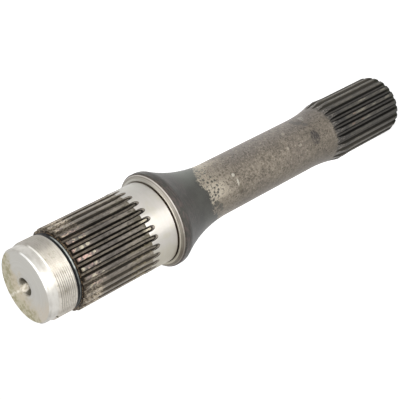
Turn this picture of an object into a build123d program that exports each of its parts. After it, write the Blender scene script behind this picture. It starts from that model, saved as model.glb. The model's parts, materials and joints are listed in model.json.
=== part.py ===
from build123d import *
from math import acos, cos, degrees, pi, radians, sin, sqrt, tan
import os

# Splined pinion shaft, turned, hobbed and ground from one steel forging. Millimetres, +Z up.
# It stands on the end of its small spline, its axis on Z and its threaded end on top.

# Both involute splines: module, pressure angle, and how far tips and floors lie inside the
# reference circle
module = 2.0
pressure_angle = 30.0
profile_shift = 0.9
profile_allowance = 0.55 * module
tip_relief = 0.1 * module
root_depth = 1.1 * module

# Small spline at the bottom end, with a shallow lead on its tooth tips, hobbed straight out over
# the flare above it
small_teeth = 22
small_gap_angle = -5.2
small_turned_length = 51.8
small_lead_length = 3.2
small_lead_depth = 1.1

# Collar above the small spline, left as forged, and the flare up to the plain shaft
collar_step = 0.6
collar_rise = 10.5
lower_flare_radius = 124.0
shaft_radius = 20.5
shaft_length = 90.9

# Bell-shaped upper flare, and the rim around the shoulder
upper_flare_radius = 106.0
rim_width = 7.6
rim_back_rounding = 3.0
rim_front_chamfer = 0.9

# Shoulder that the bearing seats on: flat face, bevel, and a grinding undercut that frees the
# corner on both sides
shoulder_width = 2.2
shoulder_bevel = 2.0
undercut_width = 1.2
undercut_depth = 0.45
undercut_face_width = 0.6
undercut_face_depth = 0.25

# Big spline below the thread: the hob lifts out over the ground bearing journal, which tapers
# down to the tooth tops in a short lead
journal_length = 22.7
journal_lead = 1.0
big_teeth = 28
big_gap_angle = 5.1
big_turned_length = 57.7
big_end_chamfer = 1.2
hob_radius = 32.0
run_out_length = 5.9

# Thread relief, thread at its outer diameter, and plain pilot in front of it
thread_clearance = 0.3
thread_length = 14.5
thread_chamfer = 0.9
relief_depth = 1.15
relief_width = 3.8
relief_chamfer = 0.8
pilot_step = 1.1
pilot_length = 7.3
pilot_chamfer = 1.1

# Lathe centre hole in each end
centre_mouth_radius = 6.6
centre_pilot_radius = 3.15
centre_pilot_length = 6.0
centre_half_angle = 30.0
drill_half_angle = 59.0

# How far the spline cutters reach past the surfaces they cut
overcut = 0.8

# Radii of the two splines, and of what is turned to suit them
small_reference_radius = module * small_teeth / 2 + profile_shift + profile_allowance
small_tip_radius = small_reference_radius - tip_relief
small_root_radius = small_reference_radius - root_depth
collar_radius = small_tip_radius + collar_step
big_reference_radius = module * big_teeth / 2 + profile_shift + profile_allowance
big_tip_radius = big_reference_radius - tip_relief
big_root_radius = big_reference_radius - root_depth
journal_radius = big_reference_radius
shoulder_outer_radius = journal_radius + shoulder_width
undercut_corner_radius = journal_radius + undercut_face_width - undercut_face_depth
bevel_outer_radius = shoulder_outer_radius + shoulder_bevel
rim_radius = bevel_outer_radius + rim_front_chamfer
thread_radius = big_root_radius - thread_clearance
relief_radius = thread_radius - relief_depth
pilot_radius = thread_radius - pilot_step


def flare_height(radius, rise):
    """Height over which an arc, tangent to the shaft, climbs away from it by a rise."""
    return sqrt(2 * radius * rise - rise**2)


# Height of each station, from the bottom end up
collar_top = small_turned_length + collar_rise
lower_flare_top = collar_top + flare_height(lower_flare_radius, collar_radius - shaft_radius)
shaft_top = lower_flare_top + shaft_length
rim_bottom = shaft_top + flare_height(upper_flare_radius, rim_radius - shaft_radius)
shoulder = rim_bottom + rim_width
bevel_bottom = shoulder - shoulder_bevel
undercut_top = shoulder + undercut_width
journal_top = shoulder + journal_length
big_spline_top = journal_top + big_turned_length
relief_top = big_spline_top + relief_width
thread_top = relief_top + thread_length
overall_length = thread_top + pilot_length

# Depths inside the centre holes: cone, pilot, drill point
centre_cone_depth = (centre_mouth_radius - centre_pilot_radius) / tan(radians(centre_half_angle))
centre_pilot_depth = centre_cone_depth + centre_pilot_length
centre_tip_depth = centre_pilot_depth + centre_pilot_radius / tan(radians(drill_half_angle))

# The hob lifts out on an arc, from full depth until its floor has left the journal
journal_cut_depth = journal_radius - big_root_radius
run_out_start = journal_top - run_out_length + flare_height(hob_radius, journal_cut_depth)
hob_lift_angle = degrees(acos(1 - (journal_cut_depth + overcut) / hob_radius))
hob_axis = Axis((big_root_radius + hob_radius, 0, run_out_start), (0, -1, 0))


def involute(angle):
    """Involute function of a pressure angle in radians."""
    return tan(angle) - angle


def gap_half_angle(radius, teeth):
    """Half the angle, in radians, that one gap between two involute teeth spans at a radius."""
    pitch_radius = module * teeth / 2
    base_radius = pitch_radius * cos(radians(pressure_angle))
    half_thickness = module * pi / 4 + profile_shift * tan(radians(pressure_angle))
    flank = involute(radians(pressure_angle)) - involute(acos(base_radius / radius))
    return pi / teeth - half_thickness / pitch_radius - flank


def gap_point(radius, side, teeth):
    """Point of a gap's flank at a radius, on one side of the gap's centre line along X."""
    angle = side * gap_half_angle(radius, teeth)
    return (radius * cos(angle), radius * sin(angle))


def gap_profile(plane, teeth, root_radius, mouth_radius):
    """Section of one gap: floor on the root circle, involute flanks, mouth outside the work."""
    middle_radius = (root_radius + mouth_radius) / 2
    left = [gap_point(radius, 1, teeth) for radius in (root_radius, middle_radius, mouth_radius)]
    right = [gap_point(radius, -1, teeth) for radius in (root_radius, middle_radius, mouth_radius)]
    with BuildSketch(plane) as profile:
        with BuildLine():
            ThreePointArc(left[0], (root_radius, 0), right[0])
            ThreePointArc(right[0], right[1], right[2])
            Line(right[2], left[2])
            ThreePointArc(left[2], left[1], left[0])
        make_face()
    return profile.sketch


# One gap of the small spline: a straight cut from below the end face until it leaves the flare
small_section = gap_profile(
    Plane.XY.offset(-overcut), small_teeth, small_root_radius, collar_radius + overcut
)
with BuildPart() as small_gap:
    extrude(small_section, amount=lower_flare_top + overcut)

# One gap of the big spline: a straight cut down from the thread relief, then the hob's arc
big_section = gap_profile(
    Plane.XY.offset(run_out_start), big_teeth, big_root_radius, journal_radius + overcut
)
with BuildPart() as big_gap:
    extrude(big_section, amount=big_spline_top + relief_width / 2 - run_out_start)
    revolve(big_section, axis=hob_axis, revolution_arc=hob_lift_angle)

with BuildPart() as pinion_shaft:
    # Turned and ground blank: half of its section on the XZ plane, revolved about Z
    with BuildSketch(Plane.XZ) as half_section:
        with BuildLine():
            Polyline(
                (0, centre_tip_depth),
                (centre_pilot_radius, centre_pilot_depth),
                (centre_pilot_radius, centre_cone_depth),
                (centre_mouth_radius, 0),
                (small_tip_radius - small_lead_depth, 0),
                (small_tip_radius, small_lead_length),
                (small_tip_radius, small_turned_length),
                (collar_radius, collar_top),
            )
            RadiusArc((collar_radius, collar_top), (shaft_radius, lower_flare_top), lower_flare_radius)
            Line((shaft_radius, lower_flare_top), (shaft_radius, shaft_top))
            RadiusArc((shaft_radius, shaft_top), (rim_radius, rim_bottom), upper_flare_radius)
            Polyline(
                (rim_radius, rim_bottom),
                (rim_radius, bevel_bottom - rim_front_chamfer),
                (bevel_outer_radius, bevel_bottom),
                (shoulder_outer_radius, shoulder),
                (journal_radius + undercut_face_width, shoulder),
                (undercut_corner_radius, shoulder - undercut_face_depth),
                (journal_radius - undercut_depth, shoulder - undercut_face_depth),
                (journal_radius - undercut_depth, undercut_top - undercut_depth),
                (journal_radius, undercut_top),
                (journal_radius, journal_top - journal_lead),
                (big_tip_radius, journal_top),
                (big_tip_radius, big_spline_top - big_end_chamfer),
                (big_tip_radius - big_end_chamfer, big_spline_top),
                (relief_radius + relief_chamfer, big_spline_top),
                (relief_radius, big_spline_top + relief_chamfer),
                (relief_radius, relief_top),
                (thread_radius - thread_chamfer, relief_top),
                (thread_radius, relief_top + thread_chamfer),
                (thread_radius, thread_top - thread_chamfer),
                (pilot_radius, thread_top),
                (pilot_radius, overall_length - pilot_chamfer),
                (pilot_radius - pilot_chamfer, overall_length),
                (centre_mouth_radius, overall_length),
                (centre_pilot_radius, overall_length - centre_cone_depth),
                (centre_pilot_radius, overall_length - centre_pilot_depth),
                (0, overall_length - centre_tip_depth),
                (0, centre_tip_depth),
            )
        make_face()
        rim_back = half_section.vertices().sort_by_distance((rim_radius, rim_bottom))[0]
        fillet(rim_back, radius=rim_back_rounding)
    revolve(axis=Axis.Z)

    # Spline gaps, each pattern turned to its own angle
    with PolarLocations(0, small_teeth, start_angle=small_gap_angle):
        add(small_gap.part, mode=Mode.SUBTRACT)
    with PolarLocations(0, big_teeth, start_angle=big_gap_angle):
        add(big_gap.part, mode=Mode.SUBTRACT)

os.makedirs("parts", exist_ok=True)
pinion_shaft.part.label = "pinion_shaft"
export_step(pinion_shaft.part, "parts/pinion_shaft.step")
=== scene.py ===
import json
from functools import partial, reduce
from math import atan2, cos, pi, radians, sin, sqrt, tan

import bmesh
import bpy
import numpy as np
from mathutils import Matrix, Vector, noise


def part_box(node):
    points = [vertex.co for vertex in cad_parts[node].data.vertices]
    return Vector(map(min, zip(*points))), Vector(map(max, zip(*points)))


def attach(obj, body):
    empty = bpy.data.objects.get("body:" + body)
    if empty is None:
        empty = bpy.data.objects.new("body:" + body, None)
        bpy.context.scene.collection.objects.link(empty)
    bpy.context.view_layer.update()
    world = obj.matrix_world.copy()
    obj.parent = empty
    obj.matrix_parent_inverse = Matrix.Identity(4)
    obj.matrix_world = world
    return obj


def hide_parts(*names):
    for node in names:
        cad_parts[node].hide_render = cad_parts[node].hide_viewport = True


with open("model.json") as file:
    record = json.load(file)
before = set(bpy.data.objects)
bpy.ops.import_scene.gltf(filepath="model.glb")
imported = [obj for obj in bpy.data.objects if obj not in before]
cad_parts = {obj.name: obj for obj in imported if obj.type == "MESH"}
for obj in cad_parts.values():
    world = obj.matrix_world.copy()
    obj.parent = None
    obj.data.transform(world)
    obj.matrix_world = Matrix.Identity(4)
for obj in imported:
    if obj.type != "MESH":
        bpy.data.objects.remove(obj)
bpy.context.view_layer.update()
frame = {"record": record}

# Splined steel pinion shaft, standing on the end of its small spline. The shape is worked out in
# millimetres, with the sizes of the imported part, and turned into metres when its mesh is made.
mm = 0.001
cad_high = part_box("pinion_shaft")[1]
mounts = {mount["name"]: mount for mount in frame["record"]["mounts"]}
overall_length = cad_high.z / mm
rim_radius = cad_high.x / mm
journal_radius = mounts["bearing_journal"]["dims"]["r_mm"]
thread_radius = mounts["nut_thread"]["dims"]["r_mm"]
shoulder = mounts["bearing_shoulder"]["pos_m"][2] / mm

# Involute splines. A gap angle is that of one gap's centre. The blends round the corners at floor
# and tip. Flanks are worked out over their height and go on below the floor at the wall's slope.
# A gap that has run out keeps the narrowest gap on each side of its centre
module = 2.0
pressure_angle = radians(30.0)
profile_shift = 0.9
big_teeth = 28
big_gap_angle = radians(5.1)
big_tip_radius = journal_radius - 0.2
big_root_radius = journal_radius - 2.2
small_teeth = 22
small_gap_angle = radians(-5.2)
small_tip_radius = 23.8
small_root_radius = 21.8
root_blend = 0.8
tip_blend = 0.16
flank_height = 3.2
wall_slope = 1.7
narrowest_gap = 0.02

# Turned, forged and ground stations, from the bottom end up
small_lead_length = 3.2
small_lead_depth = 1.1
small_turned_top = 51.8
collar_top = 62.3
collar_radius = 24.4
shaft_radius = 20.5
lower_flare_radius = 124.0
upper_flare_radius = 106.0
rim_width = 7.6
rim_back_below = 2.0
rim_back_above = 1.6
rim_front_chamfer = 0.9
shoulder_outer_radius = journal_radius + 2.2
bevel_outer_radius = rim_radius - rim_front_chamfer
shoulder_bevel = 2.0
undercut_width = 1.2
undercut_depth = 0.45
undercut_face_width = 0.6
undercut_face_depth = 0.25
journal_top = shoulder + 22.7
journal_lead = 1.0
run_out_length = 5.9
hob_radius = 32.0
big_spline_top = journal_top + 57.7
big_end_chamfer = 1.2
relief_radius = 26.35
relief_chamfer = 0.8
relief_top = big_spline_top + 3.8
thread_top = relief_top + 14.5
thread_chamfer = 0.9
thread_pitch = 1.5
thread_depth = 0.613 * thread_pitch
pilot_radius = 26.4
pilot_chamfer = 1.1

# How deep the forged skin's unevenness is, how many of its waves go into a millimetre, and the
# height in which it sets in above the small spline
forging_depth = 0.1
forging_spread = 0.055
forging_ease = 6.0

# Centre hole in each end
centre_mouth_radius = 6.6
centre_pilot_radius = 3.15
centre_cone_depth = (centre_mouth_radius - centre_pilot_radius) / tan(radians(30.0))
centre_pilot_depth = centre_cone_depth + 6.0
centre_tip_depth = centre_pilot_depth + centre_pilot_radius / tan(radians(59.0))

# Points round a ring of plain surface, of the thread, and of a centre hole
round_count = 192
thread_count = 240
hole_count = 64

# Faces that meet at more than this show an edge
sharp_angle = radians(36.0)

# Radii of the extra rings on the two end faces
lower_face_ring = 17.0
upper_face_rings = (21.0, 14.0)


def flare_height(radius, rise):
    """Height over which an arc, tangent to the shaft, climbs away from it by a rise."""
    return sqrt(2 * radius * rise - rise**2)


lower_flare_top = collar_top + flare_height(lower_flare_radius, collar_radius - shaft_radius)
rim_bottom = shoulder - rim_width
shaft_top = rim_bottom - flare_height(upper_flare_radius, rim_radius - shaft_radius)
run_out_bottom = journal_top - run_out_length
run_out_start = run_out_bottom + flare_height(hob_radius, journal_radius - big_root_radius)


def steps(start, end, count):
    """Evenly spaced heights after the start, up to the end. count includes the start."""
    return list(np.linspace(start, end, count)[1:])


def lower_flare(height):
    """Radius of the forged flare above the small spline."""
    drop = lower_flare_top - height
    return shaft_radius + lower_flare_radius - sqrt(lower_flare_radius**2 - drop**2)


def upper_flare(height):
    """Radius of the bell below the rim."""
    climb = height - shaft_top
    return shaft_radius + upper_flare_radius - sqrt(upper_flare_radius**2 - climb**2)


class Skin:
    """A closed surface about Z, grown ring by ring from the bottom up, in millimetres."""

    def __init__(self):
        self.points = []
        self.faces = []
        self.finishes = []
        self.ring = []
        self.angles = []

    def place(self, angles, radii, heights):
        """Adds a row of points and returns their numbers."""
        start = len(self.points)
        radii = np.broadcast_to(radii, len(angles))
        heights = np.broadcast_to(heights, len(angles))
        for angle, radius, height in zip(angles, radii, heights):
            self.points.append((radius * cos(angle), radius * sin(angle), height))
        return list(range(start, start + len(angles)))

    def face(self, corners, finish):
        self.faces.append(corners)
        self.finishes.append(finish)

    def grow(self, angles, radii, heights, finish):
        """Adds a ring and joins it to the last one. finish is a name, or one name per quad."""
        ring = self.place(angles, radii, heights)
        if self.ring and len(ring) == len(self.ring):
            names = [finish] * len(ring) if isinstance(finish, str) else finish
            for i, name in enumerate(names):
                j = (i + 1) % len(ring)
                self.face((self.ring[i], self.ring[j], ring[j], ring[i]), name)
        elif self.ring:
            self.zip_rings(ring, angles, finish)
        self.ring, self.angles = ring, list(angles)

    def turn(self, angles, finish, *rings):
        """Adds plain turned rings, each a (radius, height)."""
        for radius, height in rings:
            self.grow(angles, radius, height, finish)

    def zip_rings(self, ring, angles, finish):
        """Joins two rings of unlike counts with triangles, by going round both at once."""
        old, new = len(self.ring), len(ring)
        near = [abs((angle - self.angles[0] + pi) % (2 * pi) - pi) for angle in angles]
        first = near.index(min(near))
        full = 2 * pi
        old_turn = [(angle - self.angles[0]) % full for angle in self.angles] + [full]
        new_turn = [(angles[(first + j) % new] - angles[first]) % full for j in range(new)] + [full]
        i = j = 0
        while i < old or j < new:
            here, there = self.ring[i % old], ring[(first + j) % new]
            if j == new or (i < old and old_turn[i + 1] <= new_turn[j + 1]):
                self.face((here, self.ring[(i + 1) % old], there), finish)
                i += 1
            else:
                self.face((here, ring[(first + j + 1) % new], there), finish)
                j += 1

    def cap(self, height):
        """Closes the last ring with the drill point of a centre hole."""
        self.points.append((0.0, 0.0, height))
        for here, there in zip(self.ring, self.ring[1:] + self.ring[:1]):
            self.face((here, there, len(self.points) - 1), "centre_hole")


def even(count, start=0.0):
    """Angles of evenly spaced points round a circle."""
    return start + np.arange(count) * 2 * pi / count


def forged_ring(skin, radius, height, share=1.0):
    """Adds a ring of forged surface: a little uneven, always inside the true size."""
    angles = even(round_count)
    radii = []
    for angle in angles:
        place = Vector((radius * cos(angle), radius * sin(angle), height)) * forging_spread
        swell = noise.noise(place) + 0.5 * noise.noise(place * 3.1)
        radii.append(radius - share * forging_depth * (0.5 + 0.5 * swell))
    skin.grow(angles, radii, height, "forged")


class Spline:
    """An involute spline. blank gives the radius, at a height, of what it is cut into."""

    def __init__(self, name, blank, teeth, root_radius, gap_angle, lift):
        self.name = name
        self.blank = blank
        self.teeth = teeth
        self.gap_angle = gap_angle
        self.lift = lift
        self.root_radius = root_radius
        base_radius = module * teeth / 2 * cos(pressure_angle)
        radii = np.linspace(root_radius, root_radius + flank_height, 400)
        involute = tan(pressure_angle) - pressure_angle
        at_radius = np.arccos(base_radius / radii)
        flank = involute - (np.tan(at_radius) - at_radius)
        half_thickness = module * pi / 4 + profile_shift * tan(pressure_angle)
        half_angle = pi / teeth - half_thickness / (module * teeth / 2) - flank
        flank_side = radii * np.sin(half_angle)
        flank_depth = radii * np.cos(half_angle)
        floor_side = flank_side[0]
        self.side = np.linspace(0.0, flank_side[-1], 700)
        floor = np.sqrt(root_radius**2 - np.minimum(self.side, floor_side) ** 2)
        wall = np.interp(self.side, flank_side, flank_depth)
        below = floor - wall_slope * (floor_side - self.side)
        wall = np.where(self.side < floor_side, below, wall)
        gap = np.maximum(root_blend - np.abs(floor - wall), 0) / root_blend
        self.depth = np.maximum(floor, wall) + gap**2 * root_blend / 4
        # For each quad of a ring, whether it lies on a tooth top
        self.land = [quad < 2 or quad > 12 for quad in range(16)] * teeth

    def ring(self, height, blank_radius):
        """Angles and radii of the ring at a height."""
        depth = self.depth
        if self.lift and height < run_out_start:
            # The hob leaves the work
            reach = self.root_radius + hob_radius
            depth = reach - np.sqrt((reach - depth) ** 2 - (run_out_start - height) ** 2)
        radius = np.hypot(depth, self.side)
        mouth = narrowest_gap
        if radius[0] < blank_radius:
            mouth = float(np.interp(blank_radius, radius, self.side))
        # Half a gap's points, by their distance from its centre line, moved in where it is narrow
        natural = np.array([0.0, 0.4, 0.75, 1.1, 1.5, mouth - tip_blend, mouth])
        share = np.array([0.0, 0.3, 0.55, 0.72, 0.84, 0.93, 1.0]) * mouth
        sides = np.minimum(natural, share)
        radii = np.minimum(np.interp(sides, self.side, radius), blank_radius)
        turns = np.arctan2(sides, np.interp(sides, self.side, depth))
        half_pitch = pi / self.teeth
        land = (turns[-1] + 1.3 * tip_blend / blank_radius, half_pitch)
        radii[-1] -= min(tip_blend, 0.25 * (blank_radius - radii[0])) * 0.3
        turns = np.append(turns, land)
        radii = np.append(radii, [blank_radius, blank_radius])
        turns = np.append(turns, -turns[-2:0:-1])
        radii = np.append(radii, radii[-2:0:-1])
        order = np.argsort(turns)
        start = self.gap_angle
        angles = [start + tooth * 2 * half_pitch + turns[order] for tooth in range(self.teeth)]
        return np.concatenate(angles), np.tile(radii[order], self.teeth)

    def grow(self, skin, heights, land_finish):
        """Grows the skin through a list of heights."""
        finish = [land_finish if top else self.name for top in self.land]
        for height in heights:
            angles, radii = self.ring(height, self.blank(height))
            same = len(angles) == len(skin.ring)
            skin.grow(angles, radii, height, finish if same else land_finish)


def small_blank(height):
    """Radius of the turned and forged outline that the small spline is cut into."""
    if height > collar_top:
        return lower_flare(height)
    places = [0.0, small_lead_length, small_turned_top, collar_top]
    radii = [small_tip_radius - small_lead_depth, small_tip_radius, small_tip_radius, collar_radius]
    return float(np.interp(height, places, radii))


def big_blank(height):
    """Radius of the ground and turned outline that the big spline is cut into."""
    lead, chamfer = journal_top - journal_lead, big_spline_top - big_end_chamfer
    places = [lead, journal_top, chamfer, big_spline_top]
    radii = [journal_radius, big_tip_radius, big_tip_radius, big_tip_radius - big_end_chamfer]
    return float(np.interp(height, places, radii))


big_spline = Spline("big_spline", big_blank, big_teeth, big_root_radius, big_gap_angle, lift=True)
small_spline = Spline(
    "small_spline", small_blank, small_teeth, small_root_radius, small_gap_angle, lift=False
)

# Rings of a centre hole, as (radius, depth), from the end face inwards
hole_rings = [
    (centre_mouth_radius + 0.12, 0.0),
    (centre_mouth_radius - 0.1, 0.15),
    (centre_pilot_radius, centre_cone_depth),
    (centre_pilot_radius, centre_pilot_depth),
]


def thread_rings(skin):
    """A right-hand thread on a grid whose rows climb by one pitch in each turn."""
    bottom, top = relief_top, thread_top
    # Points of one turn: share of the pitch, and share of the depth that is cut away
    features = [(0.0, 0.0), (0.125, 0.0), (0.4375, 0.9), (0.5625, 1.0), (0.6875, 0.9)]
    turns = int((top - bottom) / thread_pitch) + 3
    slope = (thread_radius - pilot_radius) / thread_chamfer
    columns = []
    for i in range(thread_count + 1):
        climb = thread_pitch * (i / thread_count - 1.0)
        radii, heights = [], []
        for turn in range(turns):
            for share, cut in features:
                height = min(max(bottom + climb + (turn + share) * thread_pitch, bottom), top)
                face = thread_radius - cut * thread_depth
                lower_cone = thread_radius - thread_chamfer + (height - bottom)
                upper_cone = pilot_radius + (top - height) * slope
                radii.append(lower_cone if height == bottom else min(face, lower_cone, upper_cone))
                heights.append(height)
        angle = 2 * pi * i / thread_count
        columns.append(skin.place([angle] * len(radii), radii, heights))
    for left, right in zip(columns, columns[1:]):
        for row in range(len(left) - 1):
            skin.face((left[row], right[row], right[row + 1], left[row + 1]), "thread")


def build_skin():
    """The whole shaft, from the bottom end up. Its turned edges are broken by about 0.1."""
    skin = Skin()
    round_angles, thread_angles = even(round_count), even(thread_count)
    hole_angles = even(hole_count)

    # Lower centre hole and end face
    skin.turn(hole_angles, "centre_hole", hole_rings[-1])
    skin.cap(centre_tip_depth)
    skin.turn(hole_angles, "centre_hole", *hole_rings[-2::-1])
    skin.turn(round_angles, "worn_end", (lower_face_ring, 0.0))

    # Small spline, cut out over the flare
    lead = [0.0, 0.5 * small_lead_length, small_lead_length]
    straight = steps(small_lead_length, small_turned_top, 22)
    vanish = lower_flare_top - flare_height(lower_flare_radius, small_root_radius - shaft_radius)
    flare = steps(small_turned_top, vanish - 2.5, 16)
    points = steps(vanish - 2.5, vanish + 0.2, 10)
    small_spline.grow(skin, lead + straight + flare + points, "small_spline")

    # Forged shaft and bell, growing uneven above the spline's points
    start = vanish + 1.4
    for height in [start] + steps(start, lower_flare_top, 12):
        forged_ring(skin, lower_flare(height), height, min((height - start) / forging_ease, 1.0))
    for height in steps(lower_flare_top, shaft_top, 36):
        forged_ring(skin, shaft_radius, height)
    bell_top = rim_bottom - rim_back_below
    for height in steps(shaft_top, bell_top, 30):
        forged_ring(skin, upper_flare(height), height)

    # Rim: rounded into the bell, then chamfer, bevel, seat and undercut
    join = Vector((upper_flare(bell_top), bell_top))
    out = Vector((rim_radius, rim_bottom + rim_back_above))
    rise = atan2(bell_top - shaft_top, upper_flare_radius - (join.x - shaft_radius))
    middle = Vector((rim_radius, join.y + (rim_radius - join.x) * tan(pi / 2 - rise)))
    for share in steps(0.0, 1.0, 9):
        bend = join * (1 - share) ** 2 + middle * (2 * share * (1 - share)) + out * share**2
        forged_ring(skin, bend.x, bend.y, 1 - share)
    bevel_bottom = shoulder - shoulder_bevel
    seat_inner = journal_radius + undercut_face_width
    groove_radius = journal_radius - undercut_depth
    groove_bottom = shoulder - undercut_face_depth
    groove_top = shoulder + undercut_width
    skin.turn(
        round_angles, "forged",
        (rim_radius, bevel_bottom - rim_front_chamfer - 1.2),
        (rim_radius, bevel_bottom - rim_front_chamfer),
        (bevel_outer_radius, bevel_bottom),
    )
    edge = shoulder_outer_radius
    skin.turn(round_angles, "bevel", (edge + 0.06, shoulder - 0.06), (edge - 0.08, shoulder))
    corner = (seat_inner - undercut_face_depth, groove_bottom)
    skin.turn(round_angles, "ground", (seat_inner, shoulder), corner)
    skin.turn(
        round_angles, "groove",
        (groove_radius, groove_bottom),
        (groove_radius, groove_top - undercut_depth),
        (journal_radius, groove_top),
    )
    for height in steps(groove_top, run_out_bottom - 1.0, 8):
        skin.turn(round_angles, "ground", (journal_radius, height))

    # Big spline, running out over the journal
    start = run_out_bottom - 0.2
    tips = [start] + steps(start, run_out_bottom + 2.0, 12)
    fingers = steps(run_out_bottom + 2.0, journal_top - journal_lead, 9)
    deepening = [journal_top] + steps(journal_top, run_out_start, 8)
    straight = steps(run_out_start, big_spline_top - big_end_chamfer, 26)
    chamfer = [big_spline_top - 0.5 * big_end_chamfer, big_spline_top]
    big_spline.grow(skin, tips + fingers + deepening[:1], "ground")
    big_spline.grow(skin, deepening[1:] + straight + chamfer, "big_spline")

    # Relief groove, thread and pilot
    skin.turn(
        thread_angles, "groove",
        (relief_radius + relief_chamfer, big_spline_top),
        (relief_radius, big_spline_top + relief_chamfer),
        (relief_radius, relief_top),
    )
    skin.turn(thread_angles, "thread", (thread_radius - thread_chamfer, relief_top))
    thread_rings(skin)
    skin.ring = skin.place(thread_angles, pilot_radius, thread_top)
    corner = overall_length - pilot_chamfer
    skin.turn(
        thread_angles, "turned",
        (pilot_radius, thread_top + 1.2),
        (pilot_radius, corner - 0.1),
        (pilot_radius - 0.08, corner + 0.1),
        (pilot_radius - pilot_chamfer + 0.1, overall_length - 0.08),
        (pilot_radius - pilot_chamfer - 0.1, overall_length),
    )

    # Upper end face and centre hole
    for radius in upper_face_rings:
        skin.turn(round_angles, "end_face", (radius, overall_length))
    skin.turn(hole_angles, "end_face", (hole_rings[0][0], overall_length))
    rings = [(radius, overall_length - depth) for radius, depth in hole_rings[1:]]
    skin.turn(hole_angles, "centre_hole", *rings)
    skin.cap(overall_length - centre_tip_depth)
    return skin


def shaft_object(skin, materials):
    """Turns the skin into one closed mesh in metres."""
    mesh = bpy.data.meshes.new("pinion_shaft_steel")
    points = [tuple(mm * value for value in point) for point in skin.points]
    mesh.from_pydata(points, [], skin.faces)
    names = list(materials)
    for name in names:
        mesh.materials.append(materials[name])
    slots = [names.index(finish + "_steel") for finish in skin.finishes]
    mesh.polygons.foreach_set("material_index", slots)
    work = bmesh.new()
    work.from_mesh(mesh)
    weld = 0.0005 * mm
    bmesh.ops.remove_doubles(work, verts=work.verts, dist=weld)
    bmesh.ops.dissolve_degenerate(work, edges=work.edges, dist=weld)
    bmesh.ops.recalc_face_normals(work, faces=work.faces)
    open_edges = [edge for edge in work.edges if len(edge.link_faces) != 2]
    print("open or shared edges", len(open_edges))
    work.to_mesh(mesh)
    work.free()
    mesh.shade_smooth()
    mesh.set_sharp_from_angle(angle=sharp_angle)
    return placed("pinion_shaft_steel", mesh)


def placed(name, data):
    """A new object in the scene."""
    thing = bpy.data.objects.new(name, data)
    bpy.context.scene.collection.objects.link(thing)
    return thing


def linear(red, green, blue):
    """A colour as it is seen, 0 to 255, as the linear colour that the shaders take."""
    parts = [value / 255 for value in (red, green, blue)]
    parts = [part / 12.92 if part <= 0.04045 else ((part + 0.055) / 1.055) ** 2.4 for part in parts]
    return (*parts, 1.0)


class Nodes:
    """A node tree under construction, with short calls for the nodes that it is made of."""

    def __init__(self, tree):
        self.tree = tree

    def set(self, socket, value):
        """Links a socket to a node's output, or sets it."""
        if isinstance(value, bpy.types.NodeSocket):
            self.tree.links.new(value, socket)
        else:
            socket.default_value = value

    def node(self, kind, inputs, **settings):
        """The outputs of a new node with its settings, and its inputs by name or number."""
        node = self.tree.nodes.new("ShaderNode" + kind)
        for name, value in settings.items():
            setattr(node, name, value)
        for name, value in inputs.items():
            self.set(node.inputs[name], value)
        return node.outputs

    def math(self, operation, a, b=0.0):
        return self.node("Math", {0: a, 1: b}, operation=operation)[0]

    def vector(self, operation, a, b=(0.0, 0.0, 0.0)):
        return self.node("VectorMath", {0: a, 1: b}, operation=operation)

    def point(self, *parts):
        return self.node("CombineXYZ", dict(enumerate(parts)))[0]

    def add(self, *parts):
        return reduce(partial(self.math, "ADD"), parts)

    def times(self, *factors):
        """A product. A factor of three values is a ramp."""
        factors = [self.ramp(*part) if isinstance(part, tuple) else part for part in factors]
        return reduce(partial(self.math, "MULTIPLY"), factors)

    def ramp(self, value, low, high):
        """0 at low, 1 at high, smooth between. low may be above high."""
        inputs = {"Value": value, "From Min": low, "From Max": high}
        return self.node("MapRange", inputs, interpolation_type="SMOOTHSTEP")["Result"]

    def most(self, *parts):
        return reduce(partial(self.math, "MAXIMUM"), parts)

    def seen(self):
        """1 for rays of the camera and of mirrored images, 0 for all others."""
        rays = self.node("LightPath", {})
        return self.most(rays["Is Camera Ray"], rays["Is Glossy Ray"])


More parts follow.
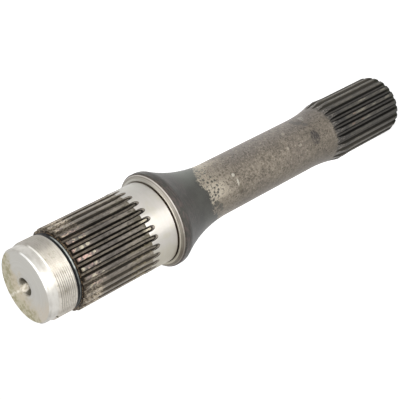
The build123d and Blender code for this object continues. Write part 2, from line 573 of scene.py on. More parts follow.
class Finish(Nodes):
    """A material under construction. Colours are given as they are seen, 0 to 255."""

    def __init__(self, name):
        self.material = bpy.data.materials.new(name)
        self.material.use_nodes = True
        super().__init__(self.material.node_tree)
        self.shader = self.tree.nodes["Principled BSDF"].inputs
        coordinates = self.node("TexCoord", {})
        self.place, self.normal = coordinates["Object"], coordinates["Normal"]
        self.x, self.y, self.z = self.node("SeparateXYZ", {0: self.place})
        self.flat = self.point(self.x, self.y)
        self.radius = self.vector("LENGTH", self.flat)["Value"]
        self.angle = self.math("ARCTAN2", self.y, self.x)
        self.up = self.add(self.times(self.z, 1 / mm), -shoulder)

    def above(self, low, high, *shake):
        """0 at one height above the shoulder, 1 at another. shake is a pattern and an amount."""
        return self.ramp(self.shaken(self.up, *shake) if shake else self.up, low, high)

    def outside(self, low, high):
        """0 at one radius and 1 at another, in millimetres."""
        return self.ramp(self.radius, low * mm, high * mm)

    def past(self, low, high):
        """0 at one angle round the axis and 1 at another, in degrees."""
        return self.ramp(self.angle, radians(low), radians(high))

    def window(self, value, low, high, soft):
        """1 between low and high, falling to 0 over soft on each side."""
        return self.times(self.ramp(value, low - soft, low), self.ramp(value, high + soft, high))

    def heights(self, low, high, soft):
        """1 between two heights above the shoulder, in millimetres."""
        return self.window(self.up, low, high, soft)

    def angles(self, low, high, soft):
        """1 between two angles round the axis, in degrees."""
        return self.window(self.angle, radians(low), radians(high), radians(soft))

    def shaken(self, value, pattern, amount):
        """A value shifted by a pattern of 0 to 1, up to half an amount either way."""
        return self.add(value, self.times(self.add(pattern, -0.5), amount))

    def scaled(self, x, y, z, offset=0.0):
        """Object coordinates in millimetres, divided by the size of the pattern each way."""
        sizes = (1 / (x * mm), 1 / (y * mm), 1 / (z * mm))
        place = self.vector("MULTIPLY", self.place, sizes)[0]
        return self.vector("ADD", place, (offset, 2.3 * offset, 3.7 * offset))[0]

    def clouds(self, vector, detail, rough=0.55):
        inputs = {"Vector": vector, "Scale": 1.0, "Detail": detail, "Roughness": rough}
        return self.node("TexNoise", inputs)["Fac"]

    def noise(self, x, y, z, offset=0.0, detail=3.0, rough=0.55):
        """A soft pattern of 0 to 1, with its size in millimetres each way."""
        return self.clouds(self.scaled(x, y, z, offset), detail, rough)

    def marks(self, size, around, offset=0.0, detail=3.0):
        """Turning marks: they change fast along the turned outline and slowly round it."""
        first = self.add(self.times(self.x, 1 / (around * mm)), offset)
        second = self.times(self.y, 1 / (around * mm))
        third = self.times(self.add(self.z, self.radius), 1 / (size * mm))
        return self.clouds(self.point(first, second, third), detail)

    def cells(self, vector, scatter=1.0):
        """Distance from the nearest of many scattered points."""
        inputs = {"Vector": vector, "Scale": 1.0, "Randomness": scatter}
        return self.node("TexVoronoi", inputs)["Distance"]

    def mix(self, share, *colours):
        """A colour between two."""
        a, b = [linear(*part) if isinstance(part, tuple) else part for part in colours]
        return self.node("Mix", {0: share, 6: a, 7: b}, data_type="RGBA")[2]

    def tones(self, pattern, low, high, *colours):
        """One colour where a pattern is below low, another where it is above high."""
        return self.mix(self.ramp(pattern, low, high), *colours)

    def over(self, base, shade, *masks):
        """One colour laid over another, by the product of the masks."""
        return self.mix(self.times(*masks), base, shade)

    def layers(self, base, *rows):
        """Colours laid over a base in turn. Each row is a colour and its masks."""
        for row in rows:
            base = self.over(base, *row)
        return base

    def blend(self, share, a, b):
        """A number between a and b."""
        return self.node("Mix", {0: share, 2: a, 3: b}, data_type="FLOAT")[0]

    def finish(self, colour, metal, rough, height=0.0, depth=0.0):
        """Gives the shader its values. height is a pattern of 0 to 1, depth millimetres deep."""
        inputs = {"Strength": 1.0, "Distance": depth * mm, "Height": height}
        normal = self.node("Bump", inputs)["Normal"]
        values = {"Base Color": colour, "Metallic": metal, "Roughness": rough, "Normal": normal}
        for name, value in values.items():
            self.set(self.shader[name], value)

    def brushed(self, amount):
        """Stretches the gloss along the axis, as the fine marks round a turned surface do."""
        tangent = self.node("Tangent", {}, direction_type="RADIAL", axis="Z")
        self.set(self.shader["Tangent"], tangent[0])
        self.shader["Anisotropic"].default_value = amount
        self.shader["Anisotropic Rotation"].default_value = 0.25

    def spot(self, height, angle, along, around, turn=0.0, ragged=None):
        """1 in an oval mark: its place above the shoulder, its sizes along and round, its turn."""
        up = self.add(self.up, -height)
        side = self.times(self.add(self.angle, -radians(angle)), self.radius, 1 / mm)
        c, s = cos(radians(turn)), sin(radians(turn))
        first = self.times(self.add(self.times(up, c), self.times(side, s)), 2 / along)
        second = self.times(self.add(self.times(side, c), self.times(up, -s)), 2 / around)
        distance = self.add(self.times(first, first), self.times(second, second))
        if ragged is not None:
            distance = self.shaken(distance, ragged, 2.4)
        return self.ramp(distance, 1.25, 0.6)

    def spots(self, ragged, *marks):
        """1 in any of several oval marks with ragged edges."""
        return self.most(0.0, *[self.spot(*mark, ragged=ragged) for mark in marks])


def turned_steel(m):
    """Bright steel with fine turning marks: the pilot and its chamfer, with painted highlights on a
    band and on the chamfer, and painted shade at the sides.
    """
    marks = m.marks(0.16, 30, detail=2)
    blotches = m.noise(5, 5, 3, detail=4)
    # Painted highlight: the chamfer near white on one side
    bevel = m.times(m.outside(pilot_radius - 0.1, pilot_radius - 0.4), m.angles(-14, 46, 12))
    nick = m.spot(overall_length - shoulder - 0.8, -99, 1.8, 3)
    # Painted shade on both sides, a painted highlight band, the chamfer's painted highlight, and a
    # real nick
    colour = m.layers(
        m.tones(blotches, 0.42, 0.64, (211, 208, 201), (199, 195, 187)),
        ((178, 175, 169), m.most(m.past(20, 44), m.past(-48, -66)), 0.4),
        ((240, 238, 233), m.angles(-50, -30, 12), 0.25),
        ((254, 253, 249), bevel),
        ((104, 100, 78), nick),
    )
    m.brushed(0.85)
    m.finish(colour, m.blend(nick, 1, 0.3), m.add(0.4, m.times(blotches, 0.16)), marks, 0.003)


def thread_steel(m):
    """The thread: bright, a little duller than the pilot, stained near its ends, with painted
    highlights in bands and on its first crest, and painted shade on one side and in its roots.
    """
    blotches = m.noise(5, 5, 3, detail=4)
    stains = m.noise(2.4, 2.4, 2, 6, detail=4)
    end = thread_top - shoulder
    # Painted highlight along the first crest, on one side
    first = m.times(m.above(end - 0.9, end - 0.6), m.angles(10, 50, 10))
    # Painted shade in the thread's roots, mostly on one side
    groove = m.outside(thread_radius - 0.3, thread_radius - 0.75)
    groove = m.times(groove, m.above(end - 1, end - 1.4))
    root_shade_share = m.add(m.times(m.past(8, -8), 0.36), m.times(m.angles(-22, -8, 8), 0.16))
    nick = m.spot(end - 0.4, -79, 2.4, 2.4)
    # The two paler bands are painted highlights; the darker side is painted shade
    colour = m.layers(
        m.tones(blotches, 0.42, 0.64, (212, 207, 198), (199, 193, 183)),
        ((240, 235, 226), m.angles(8, 30, 12), 0.4),
        ((244, 240, 232), m.most(m.angles(-24, -10, 6), m.angles(-58, -40, 8)), 0.5),
        ((168, 163, 134), (stains, 0.56, 0.7), 0.5),
        ((176, 173, 168), m.past(24, 52), 0.5),
        ((252, 250, 244), first),
        ((84, 78, 70), groove, root_shade_share),
        ((104, 100, 78), nick),
    )
    m.brushed(0.8)
    m.finish(colour, 1, m.add(0.5, m.times(blotches, 0.12)), blotches, 0.004)


def bevel_steel(m):
    """The shoulder's bevel: turned, bright on one side and stained brown on the other, with painted
    shade in a band at the front and on one side, and a painted highlight along its outer edge.
    """
    marks = m.marks(0.35, 30, detail=2)
    blotches = m.noise(6, 6, 6, 2, detail=4)
    stain = m.ramp(m.shaken(m.angle, blotches, 0.6), radians(2), radians(-38))
    edge = bevel_outer_radius
    # Painted highlight: a pale line along the outer edge
    outer = m.outside(edge - 0.55, edge - 0.35)
    line = m.window(m.radius, (edge - 1) * mm, (edge - 0.8) * mm, 0.15 * mm)
    colour = m.layers(
        m.tones(marks, 0.36, 0.62, (186, 181, 172), (150, 143, 133)),
        (m.tones(marks, 0.36, 0.62, (136, 130, 119), (106, 98, 88)), stain, 0.85),
        # Painted shade: a darker band at the front and a darker side
        ((118, 113, 105), m.angles(-14, 4, 9), 0.45),
        ((150, 146, 138), m.past(25, 60), 0.6),
        ((216, 211, 204), outer, m.blend(stain, 0.6, 0.2)),
        ((104, 93, 84), line, 0.5),
    )
    m.brushed(0.4)
    m.finish(colour, 1, m.add(0.58, m.times(stain, 0.1)), marks, 0.01)


def end_face_steel(m):
    """The threaded end's face: finely turned, with pale and yellow-green stains on one side, and a
    painted highlight: a pale line from near the centre hole to the edge.
    """
    marks = m.marks(0.3, 40)
    blotches = m.noise(5.5, 5.5, 5.5, 4, detail=4)
    dirt = m.noise(2.6, 2.6, 2.6, 9, rough=0.5)
    low = m.ramp(m.shaken(m.times(m.y, -1), blotches, 0.02), 0.008, 0.022)
    left = m.ramp(m.shaken(m.times(m.x, -1), blotches, 0.03), -0.002, 0.01)
    outer = m.ramp(m.shaken(m.radius, blotches, 0.02), 0.011, 0.021)
    green = m.tones(dirt, 0.4, 0.64, (192, 188, 163), (167, 161, 132))
    # Painted highlight: a pale line from near the centre hole out to the edge on one side
    across = m.math("ABSOLUTE", m.add(m.shaken(m.y, blotches, 0.006), 0.0004))
    highlight_streak = m.times((across, 0.0017, 0.0004), (m.x, -0.001, -0.006))
    highlight_streak = m.times(highlight_streak, m.add(0.45, m.times((dirt, 0.62, 0.42), 0.55)))
    colour = m.layers(
        m.tones(marks, 0.3, 0.75, (192, 190, 184), (184, 181, 174)),
        ((196, 184, 166), low, 0.6),
        ((196, 184, 160), left, 0.7),
        (green, left, outer, (dirt, 0.25, 0.6)),
        ((156, 146, 118), left, (dirt, 0.5, 0.66), 0.35),
        ((224, 219, 206), highlight_streak),
    )
    metal = m.blend(m.times(left, outer), 1, 0.75)
    m.brushed(0.4)
    m.finish(colour, metal, m.blend(left, 0.44, 0.56), marks, 0.004)


def centre_hole_steel(m):
    """Inside of a centre hole: dark with old grease and painted shade, painted lighter on one side
    of its wall, with a painted highlight in a band across it and round its mouth.
    """
    grime = m.noise(1.6, 1.6, 1.6, 3)
    # Dark grease with painted shade; one side of the wall painted lighter
    dark = m.tones(grime, 0.4, 0.62, (46, 42, 33), (80, 75, 63))
    dark = m.over(dark, (150, 144, 130), (m.x, 0, -0.006), 0.5)
    # Painted highlight: a bright band across the hole, and a paler ring round its mouth
    across = m.add(m.math("ABSOLUTE", m.add(m.y, 0.0002)), m.times(m.x, 0.17))
    highlight_share = m.ramp(m.shaken(across, grime, 0.004), 0.0026, 0.001)
    mouth = m.outside(centre_mouth_radius - 0.7, centre_mouth_radius - 0.1)
    colour = m.mix(
        m.most(m.times(highlight_share, 0.9), m.times(mouth, 0.6)),
        dark,
        m.tones(grime, 0.42, 0.58, (208, 201, 188), (178, 170, 152)),
    )
    m.finish(colour, m.blend(highlight_share, 0.6, 0.8), 0.5, grime, 0.02)


def ground_steel(m):
    """The bearing journal and its seat: ground bright, with very fine lines round it, painted shade
    on both sides, and a dark edge of oil and painted shade round the ends of the spline's gaps.
    """
    lines = m.marks(0.08, 25, detail=2)
    bands = m.marks(3, 60, 5, detail=2)
    stains = m.noise(7, 7, 7, 12, detail=4)
    colour = m.layers(
        m.tones(bands, 0.4, 0.65, (194, 190, 184), (192, 188, 181)),
        ((190, 185, 168), (stains, 0.5, 0.64), 0.4),
        ((202, 195, 190), (stains, 0.46, 0.38), 0.3),
        ((232, 227, 214), m.heights(-0.6, 0.2, 0.2)),
        # Painted shade: darker on both sides
        ((164, 163, 158), m.past(22, 60), 0.65),
        ((163, 157, 140), m.past(-28, -70), 0.8),
        ((18, 15, 11), run_out_edge(m)),
    )
    m.brushed(0.86)
    m.finish(colour, 1, m.add(0.43, m.times(bands, 0.01)), lines, 0.0008)


def groove_steel(m):
    """Narrow grooves: near black with old oil and painted shade, with a painted highlight as a pale
    line in the relief by the thread, and the undercut by the shoulder painted lighter on one side.
    """
    grime = m.noise(1.2, 1.2, 0.5)
    dark = m.tones(grime, 0.35, 0.65, (14, 15, 17), (27, 28, 29))
    bottom = big_spline_top - shoulder
    # Painted highlight: a pale line on the relief's floor, on the sides that the angle masks give
    bare = m.times(m.heights(bottom + 1, bottom + 1.6, 0.35), (grime, 0.2, 0.5))
    highlight_share = m.most(m.times(m.angles(-4, 44, 14), 0.85), m.times(m.angles(-70, -10, 10), 0.3))
    rust = m.times(
        m.outside(relief_radius + 0.25, relief_radius + 0.6), m.above(bottom - 3, bottom - 2)
    )
    seat = m.heights(-3, 3, 0.5)
    # Painted light: the undercut lighter on one side
    painted_side_light = m.times(seat, m.past(24, 60))
    colour = m.layers(
        m.over(dark, (196, 202, 198), bare, highlight_share),
        (m.tones(grime, 0.46, 0.6, (30, 24, 19), (112, 94, 72)), rust),
        (m.tones(grime, 0.4, 0.6, (52, 44, 38), (88, 72, 60)), seat),
        ((150, 144, 134), painted_side_light, 0.6),
    )
    m.finish(colour, 0.85, 0.38, grime, 0.02)


def run_out_edge(m):
    """1 on a dark edge round each rounded end of the big spline's gaps, on the journal: oil and
    painted shade along the gaps' edges.
    """
    pitch = 2 * pi / big_teeth
    turn = m.times(m.add(m.angle, -big_gap_angle), 1 / pitch)
    nearest = m.add(turn, m.times(m.math("ROUND", turn), -1))
    side = m.times(nearest, pitch * journal_radius / 2.1)
    back = m.times(m.add(journal_top - shoulder, m.times(m.up, -1)), 1 / 6.15)
    back = m.math("POWER", m.most(back, 0), 3)
    return m.ramp(m.add(m.times(side, side), back), 0.97, 0.89)


def spline_parts(m, tip_radius, root_radius):
    """Shares of a spline's skin: its tooth tops, its gap floors, and the height up a flank."""
    out = m.vector("NORMALIZE", m.flat)[0]
    flat = m.vector("DOT_PRODUCT", out, m.normal)["Value"]
    top = m.outside(tip_radius - 0.5, tip_radius - 0.12)
    floor = m.ramp(flat, 0.84, 0.96)
    climb = m.outside(root_radius + 0.5, root_radius + 1.7)
    return top, floor, climb


def big_spline_steel(m):
    """Big spline: grey-brown worn tooth tops, dark flanks with painted shade, rusty and pale spots
    by the thread, painted highlights on its run-out floors, and painted sheen on both sides.
    """
    streaks = m.noise(0.9, 0.9, 9, detail=4)
    mottle = m.noise(2.2, 2.2, 3.5, 7, detail=5, rough=0.62)
    grain = m.noise(0.45, 0.45, 0.8, 2)
    patches = m.noise(1.9, 1.9, 2.8, 11)
    tints = m.noise(3.4, 3.4, 3.4, 17)
    top, floor, climb = spline_parts(m, big_tip_radius, big_root_radius)

    # Away from the thread: worn grey tops, lighter towards the journal, with dark flanks
    uneven = m.noise(5, 5, 26, 41, detail=2)
    shaded = m.times(m.heights(46, 60, 4), m.angles(-50, 48, 10))
    blots = m.noise(1.3, 1.3, 3.4, 23, detail=4, rough=0.6)
    worn = m.layers(
        m.tones(mottle, 0.36, 0.66, (114, 107, 99), (78, 72, 65)),
        ((118, 112, 104), (streaks, 0.46, 0.7), 0.45),
        ((50, 45, 38), (grain, 0.5, 0.68), 0.45),
        ((66, 64, 58), (uneven, 0.48, 0.66), 0.55),
        ((140, 133, 124), (uneven, 0.46, 0.34), 0.35),
        ((142, 134, 122), m.above(50, 34), 0.5),
        ((62, 58, 53), shaded, 0.3),
        ((50, 45, 37), (blots, 0.54, 0.62), 0.6),
    )
    # Rust and pale crust on the end by the thread
    span = big_spline_top - shoulder
    end = m.above(span - 17.4, span - 13.8, mottle, 26)
    crust = m.tones(tints, 0.42, 0.58, (126, 112, 106), (106, 101, 93))
    pale = m.tones(tints, 0.42, 0.56, (206, 172, 156), (192, 182, 156))
    crust = m.layers(crust, (pale, (patches, 0.55, 0.64)), ((48, 39, 31), (patches, 0.45, 0.36)))
    pink = m.spots(patches, (78.6, 0, 4.2, 2.6), (73, -0.8, 4.6, 2.2), (79.2, 11.8, 3.6, 2.4))
    cream = m.spots(
        patches, (72.2, 11.6, 3.6, 2.6), (67.2, 12, 3, 2.2), (65.8, 0, 2.4, 2), (68, -13.4, 2.2, 2),
        (72, -27.4, 3.4, 2.4), (64.8, -29.6, 3, 2.2), (78.4, -13.6, 3, 2.6)
    )
    rust = m.tones(grain, 0.46, 0.6, (36, 28, 20), (124, 104, 80))
    edge = m.above(span - 2.2, span - 0.8, tints, 4)

    # Run-outs: tops dark with oil and tan lines by the journal, floors with a painted highlight on
    # one side, and painted shade near black round the gaps' ends by the journal
    start = journal_top - shoulder
    oil = m.heights(start + 0.2, start + 5, 3)
    olive = m.times(m.heights(start + 2, start + 17, 5), m.past(-6, -24))
    tan = m.times(m.heights(start + 2.5, start + 16, 2.5), (tints, 0.45, 0.6))
    out = m.above(start + 5, start - 1.5)
    # The floors' painted highlight, on one side
    rubbed = m.tones(grain, 0.4, 0.62, (190, 182, 162), (122, 114, 98))
    dull = m.tones(grain, 0.35, 0.7, (104, 98, 88), (76, 71, 62))
    # Painted shade: floors near black where they rise to the journal
    brink = m.times(out, m.outside(journal_radius - 1.1, journal_radius - 0.75))
    worn = m.layers(
        worn,
        (crust, end, 0.9),
        (m.tones(grain, 0.4, 0.6, (208, 178, 166), (172, 140, 128)), pink),
        (m.tones(grain, 0.4, 0.6, (200, 193, 172), (158, 150, 130)), cream),
        (rust, edge, 0.7),
        ((70, 65, 50), oil, (mottle, 0.34, 0.6), 0.75),
        ((98, 92, 68), olive, (mottle, 0.36, 0.58), 0.6),
    )
    bed = m.layers(
        m.tones(mottle, 0.4, 0.62, (104, 96, 84), (68, 62, 53)),
        (rust, end, 0.3),
        (m.mix(m.angles(-12, 8, 6), dull, rubbed), out),
        ((12, 10, 7), brink),
    )
    # Flanks: dark oxide with painted shade, darkest at the root and near black by the journal
    flank = m.layers(
        m.mix(climb, (10, 8, 6), m.tones(grain, 0.35, 0.65, (24, 20, 15), (44, 38, 30))),
        ((24, 18, 13), end, 0.6),
        (m.mix(m.past(6, 26), (124, 113, 88), (74, 72, 60)), tan, climb, 0.7),
        ((14, 11, 8), m.above(start + 1.5, start - 0.5)),
    )

    # Painted sheen on both sides: the sides painted lighter, with dust and rust thick by the thread
    far_side = m.ramp(m.math("ABSOLUTE", m.angle), radians(44), radians(62))
    scab = m.noise(1.1, 1.1, 1.7, 31, rough=0.6)
    dust_and_sheen_colour = m.tones(mottle, 0.38, 0.62, (176, 165, 150), (142, 133, 118))
    rough_rust = m.tones(scab, 0.4, 0.6, (186, 174, 155), (92, 83, 72))
    rough_rust = m.over(rough_rust, (70, 62, 52), m.above(span - 9, span - 4), 0.4)
    dust_and_sheen_colour = m.over(dust_and_sheen_colour, rough_rust, end)
    dust_and_sheen = m.add(
        m.times(m.most(m.past(28, 66), m.past(-14, -56)), m.add(0.28, m.times(end, 0.36))),
        m.times(far_side, end, 0.45),
    )
    level = m.most(top, floor)
    dust_and_sheen = m.times(dust_and_sheen, m.blend(level, m.blend(end, 0.35, 0.58), 1))
    colour = m.layers(
        m.mix(floor, flank, bed),
        (worn, top),
        ((50, 43, 36), end, (scab, 0.56, 0.66), 0.5),
        (dust_and_sheen_colour, dust_and_sheen),
    )
    metal = m.blend(m.times(out, floor), m.blend(level, 0.9, 0.35), m.blend(brink, 0.85, 0.9))
    rough = m.blend(level, 0.55, 0.46)
    height = m.add(m.times(grain, 0.4), m.add(m.times(mottle, 0.5), m.times(end, patches, 1.2)))
    m.finish(colour, metal, rough, height, 0.06)


def small_spline_steel(m):
    """Small spline: dark, pale streaks worn into its tooth tops, an olive tinge at the end, painted
    shade at the front, towards the end and deep in its flanks, and painted sheen on both sides.
    """
    streaks = m.noise(0.9, 0.9, 7, 3)
    mottle = m.noise(2, 2, 4, 9, detail=5, rough=0.62)
    grain = m.noise(0.45, 0.45, 0.8, 6)
    tints = m.noise(3, 3, 6, 21)
    top, floor, climb = spline_parts(m, small_tip_radius, small_root_radius)
    rubbed = m.times(m.angles(-18, 26, 6), (streaks, 0.4, 0.62))
    pale = m.spots(
        grain, (-212.6, 20, 9, 1.5), (-238, 19.5, 7, 1.3), (-203, 3.5, 14, 1.6),
        (-237, 3.5, 6.5, 1.5), (-221, 3, 5, 1.3), (-208, -13, 9, 1.5)
    )
    rusty = m.spots(grain, (-192, -13, 4.5, 1.6), (-203, -12.6, 3.6, 1.3), (-197, 3.5, 4, 1.5))
    worn = m.layers(
        m.tones(mottle, 0.36, 0.64, (72, 67, 58), (43, 40, 33)),
        ((98, 91, 79), (streaks, 0.52, 0.66), 0.6),
        ((134, 127, 112), rubbed, 0.25),
        ((168, 161, 143), pale, (streaks, 0.25, 0.6), 0.8),
        ((150, 122, 104), rusty, 0.5),
    )
    bed = m.tones(mottle, 0.4, 0.62, (56, 51, 44), (36, 32, 27))
    # Flanks: dark, with painted shade towards the root
    flank = m.mix(climb, (8, 7, 5), m.tones(grain, 0.35, 0.65, (20, 18, 14), (34, 31, 26)))

    # The tooth tops run up on to the flare, rubbed lighter at their points
    scuffed = m.tones(m.noise(1, 1, 1.6, 6), 0.42, 0.58, (50, 46, 41), (134, 128, 120))
    up_flare = m.tones(mottle, 0.4, 0.6, (37, 35, 31), (54, 50, 46))
    up_flare = m.over(up_flare, scuffed, m.above(-185, -176), (streaks, 0.4, 0.6))
    flared = m.above(-188, -184)
    high = m.outside(small_root_radius + 0.25, small_root_radius + 0.5)
    top = m.most(top, m.times(flared, m.times(floor, high)))
    worn = m.over(worn, up_flare, flared)
    bed = m.over(bed, (48, 44, 38), flared)

    # Painted shade: tops and floors darker at the front
    front_shade = m.times(m.angles(-24, 20, 14), m.most(top, floor))
    # Painted shade: darker towards the bottom end, except on one side
    end_shade = m.times(m.above(-196, -236), m.past(30, 10))
    forge = m.above(-173.6, -171.8, grain, 7)
    olive = m.above(5.5 - shoulder, 2.5 - shoulder, tints, 5)
    colour = m.layers(
        m.mix(top, m.mix(floor, flank, bed), worn),
        ((24, 22, 17), front_shade, 0.4),
        # Painted sheen: both sides lighter
        ((150, 144, 132), m.past(22, 62), 0.15),
        ((150, 144, 132), m.past(-26, -62), 0.11),
        ((24, 22, 17), end_shade, 0.35),
        (bare_forging(m), forge),
        (m.tones(mottle, 0.42, 0.6, (41, 41, 30), (23, 22, 16)), olive, 0.85),
    )
    height = m.add(m.times(grain, 0.4), m.times(mottle, 0.6))
    metal = m.blend(forge, m.blend(m.most(top, floor), 0.9, 0.12), 0.45)
    m.finish(colour, metal, m.blend(forge, m.blend(top, 0.6, 0.5), 0.46), height, 0.05)


def worn_end_steel(m):
    """Lower end face, turned and then darkened in use."""
    marks = m.marks(0.25, 40, 2)
    mottle = m.noise(5, 5, 5, 8, detail=5)
    colour = m.tones(mottle, 0.4, 0.62, (132, 128, 118), (98, 94, 82))
    m.brushed(0.4)
    m.finish(colour, 0.8, 0.46, marks, 0.006)


def forging_patterns(m):
    """Patterns of the forged skin, from the coarsest to the finest."""
    cloud = m.noise(15, 15, 20, detail=4)
    mottle = m.noise(3.6, 3.6, 3.6, 5, detail=6, rough=0.68)
    grain = m.noise(1.5, 1.5, 1.5, 1, detail=4, rough=0.7)
    fine = m.noise(0.4, 0.4, 0.4, 8, detail=2)
    return cloud, mottle, grain, fine


def bare_forging(m):
    """Colour of the bare forged metal: warm grey, mottled, with fine light and dark specks, and
    painted light and shade round it.
    """
    cloud, mottle, grain, fine = forging_patterns(m)
    crystals = m.cells(m.scaled(2, 2, 2.2, 2))

    # Lighter near the bell, and greyer on one side. Painted highlight and sheen: a lit band at the
    # front and on one side near the bell; painted shade: darker bands on the other side
    near_bell = m.above(-74, -50, cloud, 40)
    lit = m.times(m.most(m.angles(-14, 2, 14), m.past(44, 64)), near_bell)
    dull = m.times(m.angles(-56, -28, 7), m.above(-66, -52))
    grey = m.times(m.past(14, 44), (m.shaken(m.up, cloud, 50), -48, -84))
    shady = m.times(m.angles(14, 38, 12), m.heights(-140, -60, 14))
    speckled = m.add(0.22, m.times((m.math("ABSOLUTE", m.add(m.up, 110)), 25, 45), 0.45))
    bare = m.layers(
        m.tones(mottle, 0.36, 0.66, (133, 124, 111), (95, 88, 78)),
        ((102, 94, 87), (cloud, 0.42, 0.64), 0.5),
        ((158, 149, 133), near_bell, 0.7),
        ((196, 187, 170), lit, 0.45),
        ((98, 89, 78), dull, 0.5),
        ((112, 107, 104), grey, 0.55),
        ((80, 75, 70), shady, 0.2),
        ((62, 54, 45), (grain, 0.53, 0.63), 0.7),
        ((160, 150, 134), (grain, 0.44, 0.36), 0.6),
        ((172, 162, 146), (fine, 0.56, 0.7), 0.4),
        ((58, 48, 38), (crystals, 0.3, 0.14), speckled),
        # Painted shade: darker on one side
        ((84, 78, 68), m.past(-18, -56), 0.45),
    )
    return m.over(bare, (78, 72, 64), m.above(-138, -150), 0.3)


def forged_steel(m):
    """Forged skin: dark scale on the bell, bare metal on the shaft, with the marks of its use, and
    painted shade and painted sheen on the bell.
    """
    cloud, mottle, grain, fine = forging_patterns(m)
    bare = bare_forging(m)

    # Marks on the shaft: a nick and a scrape, a bruise, and a rubbed place with a dark edge
    scraped = m.spots(fine, (-67.6, 6.5, 2.8, 2.8), (-69, -10.5, 1.7, 5.6, 6))
    faint = m.spots(grain, (-136.2, -2.5, 4, 2.4), (-124, 2.5, 2.4, 2.4), (-129.6, 37, 4, 3))
    streaked = m.ramp(m.noise(3, 2.4, 0.9, 4), 0.6, 0.44)
    bruise = m.times(m.spot(-153.2, -3, 8.4, 12, ragged=grain), m.add(0.3, m.times(streaked, 0.7)))
    shade = m.spots(grain, (-149.4, 46, 8.5, 5, 30), (-147, 58, 5, 4, 0), (-152.5, 33, 5, 3, 20))
    rubbed = m.spot(-156, 55, 4.2, 7, 12, ragged=mottle)
    smear = m.spot(-69.5, -26, 3.2, 8, 20, ragged=grain)
    pits = m.times(m.heights(-170, -150, 8), (m.cells(m.scaled(4.2, 4.2, 4.2, 6)), 0.17, 0.09))
    bare = m.layers(
        bare,
        ((204, 199, 186), scraped, 0.52),
        ((190, 182, 166), faint, 0.28),
        ((58, 54, 52), bruise),
        ((80, 77, 74), shade, 0.65),
        ((180, 177, 168), rubbed, 0.35),
        ((84, 78, 64), smear, 0.4),
        ((62, 47, 37), pits, 0.9),
    )

    # Scale on the bell, brownish by the rim. Painted shade: darker by the rim and on both sides;
    # painted sheen: paler on one side lower down
    brown = m.noise(5, 5, 1.4, 14, detail=4)
    brown = m.times(m.above(-26, -12), (brown, 0.44, 0.6))
    shaded = m.times(m.above(-24, -14), m.most(m.above(-5, -9), m.past(26, 44)))
    # Painted shade: darker on one side
    low = m.times(m.past(-8, -52), m.heights(-26, -9, 5))
    # Painted sheen: paler on one side, lower down
    pale = m.times(m.past(12, 50), m.above(-16, -34))
    scale = m.layers(
        m.tones(cloud, 0.4, 0.62, (59, 59, 53), (48, 47, 42)),
        ((84, 72, 69), brown, 0.8),
        ((32, 32, 28), shaded, 0.5),
        ((32, 32, 29), low, 0.6),
        ((100, 104, 96), pale, 0.62),
        (m.tones(grain, 0.4, 0.6, (90, 80, 72), (54, 48, 43)), m.above(-3.4, -2.4), 0.6),
        ((130, 128, 122), (fine, 0.56, 0.7), 0.14),
    )

    # Stippled edge of the scale, with rows of dots of it on the bare metal
    edge = m.add(m.up, m.times(m.add(mottle, grain, -1), 11))
    bend = m.times((m.math("ABSOLUTE", m.angle), radians(34), radians(75)), 7.5)
    edge = m.add(edge, bend, m.times(m.angles(8, 26, 8), -3))
    scaled = m.ramp(edge, -41.6, -39.6)
    rows = m.point(m.times(m.angle, 21.5 / 2.5), m.times(m.up, 1 / 2.7))
    dots = m.ramp(m.cells(rows, scatter=0.62), 0.46, 0.32)
    field = m.add(-53, m.times(m.past(-4, -16), 3.6))
    dotted = m.times(m.above(field, m.add(field, 2), cloud, 9), m.angles(-38, 50, 7))
    fringe = m.times((edge, -46, -42.5), (grain, 0.5, 0.58))
    spotted = m.most(m.times(dots, dotted), m.times(fringe, 0.7))
    smudge = m.spots(grain, (-45, -29, 5, 3.4), (-48, -38, 6, 4), (-49.5, -47, 4, 3))
    spotted = m.most(spotted, m.times(smudge, 0.8))
    holes = m.times((grain, 0.58, 0.66), (edge, -36, -40))
    scaled = m.most(m.times(scaled, m.add(1, m.times(holes, -0.7))), m.times(spotted, 0.92))

    colour = m.mix(scaled, bare, scale)
    rough = m.blend(scaled, m.blend(scraped, 0.46, 0.34), 0.44)
    metal = m.blend(scaled, m.blend(scraped, 0.45, 0.8), 0.15)
    height = m.add(grain, m.times(mottle, 0.8), m.times(scaled, 0.5))
    m.shader["IOR"].default_value = 1.42
    m.finish(colour, metal, rough, height, 0.07)


# Light of the surroundings on rough surfaces, and of the floor where it is seen
world_light = 0.25
floor_glow = 0.66
white = (1.0, 1.0, 1.0, 1.0)


def make_camera():
    """Camera at the photograph's place: beside the threaded end, looking down along the shaft."""
    data = bpy.data.cameras.new("camera")
    data.lens = 101.97
    data.sensor_width = 36.0
    camera = placed("camera", data)
    place = Vector((0.6634, 0.0, 0.66424))
    target = Vector((0.0, -0.00264, 0.19898))
    roll = radians(-117.667)
    turn = (target - place).to_track_quat("-Z", "Y").to_matrix() @ Matrix.Rotation(roll, 3, "Z")
    camera.matrix_world = Matrix.Translation(place) @ turn.to_4x4()
    bpy.context.scene.camera = camera


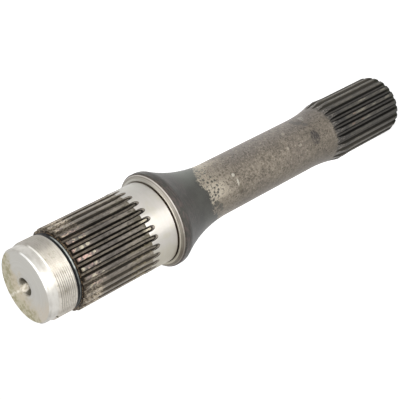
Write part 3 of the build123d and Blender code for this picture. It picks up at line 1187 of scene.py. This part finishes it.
def make_studio():
    """Pale floor, white surroundings and soft lamps."""
    scene = bpy.context.scene
    scene.view_settings.view_transform = "Standard"

    world = bpy.data.worlds.new("studio")
    scene.world = world
    world.use_nodes = True
    sky = Nodes(world.node_tree)
    inputs = {"Value": sky.seen(), "To Min": world_light, "To Max": 1.0}
    surround = world.node_tree.nodes["Background"].inputs
    sky.set(surround["Strength"], sky.node("MapRange", inputs)["Result"])
    surround["Color"].default_value = white

    bpy.ops.mesh.primitive_plane_add(size=8.0, location=(0.0, 0.0, 0.0))
    floor = bpy.context.object
    floor.name = "studio_floor"
    paper = Finish("studio_paper")
    paper.finish(linear(238, 238, 238), metal=0.0, rough=0.8)
    paper.set(paper.shader["Emission Strength"], paper.times(paper.seen(), floor_glow))
    paper.shader["Emission Color"].default_value = white
    floor.data.materials.append(paper.material)

    # Lamps as (name, azimuth in degrees, distance, height, aim height, width, height, watts). The
    # upper and lower ones don't show in bright metal
    for name, azimuth, reach, height, aim, across, tall, power in [
        ("front_lamp", -10.0, 1.05, 0.5, 0.19, 0.95, 0.8, 8.2),
        ("upper_lamp", 114.0, 1.0, 0.45, 0.18, 0.5, 0.8, 6.5),
        ("lower_lamp", -108.0, 1.0, 0.45, 0.18, 0.5, 0.8, 1.4),
        ("top_lamp", 32.0, 0.65, 1.25, 0.33, 1.2, 0.5, 3.6),
    ]:
        data = bpy.data.lights.new(name, "AREA")
        data.shape = "RECTANGLE"
        data.size, data.size_y, data.energy = across, tall, power
        lamp = placed(name, data)
        turn = radians(azimuth)
        place = Vector((reach * cos(turn), reach * sin(turn), height))
        lamp.location = place
        lamp.rotation_euler = (Vector((0, 0, aim)) - place).to_track_quat("-Z", "Y").to_euler()
        lamp.visible_glossy = name in ("front_lamp", "top_lamp")


materials = {}
for paint in [
    turned_steel, thread_steel, bevel_steel, end_face_steel, centre_hole_steel, ground_steel,
    groove_steel, big_spline_steel, small_spline_steel, worn_end_steel, forged_steel,
]:
    steel = Finish(paint.__name__)
    paint(steel)
    materials[paint.__name__] = steel.material
shaft = shaft_object(build_skin(), materials)
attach(shaft, "root")
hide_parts("pinion_shaft")
make_studio()
make_camera()
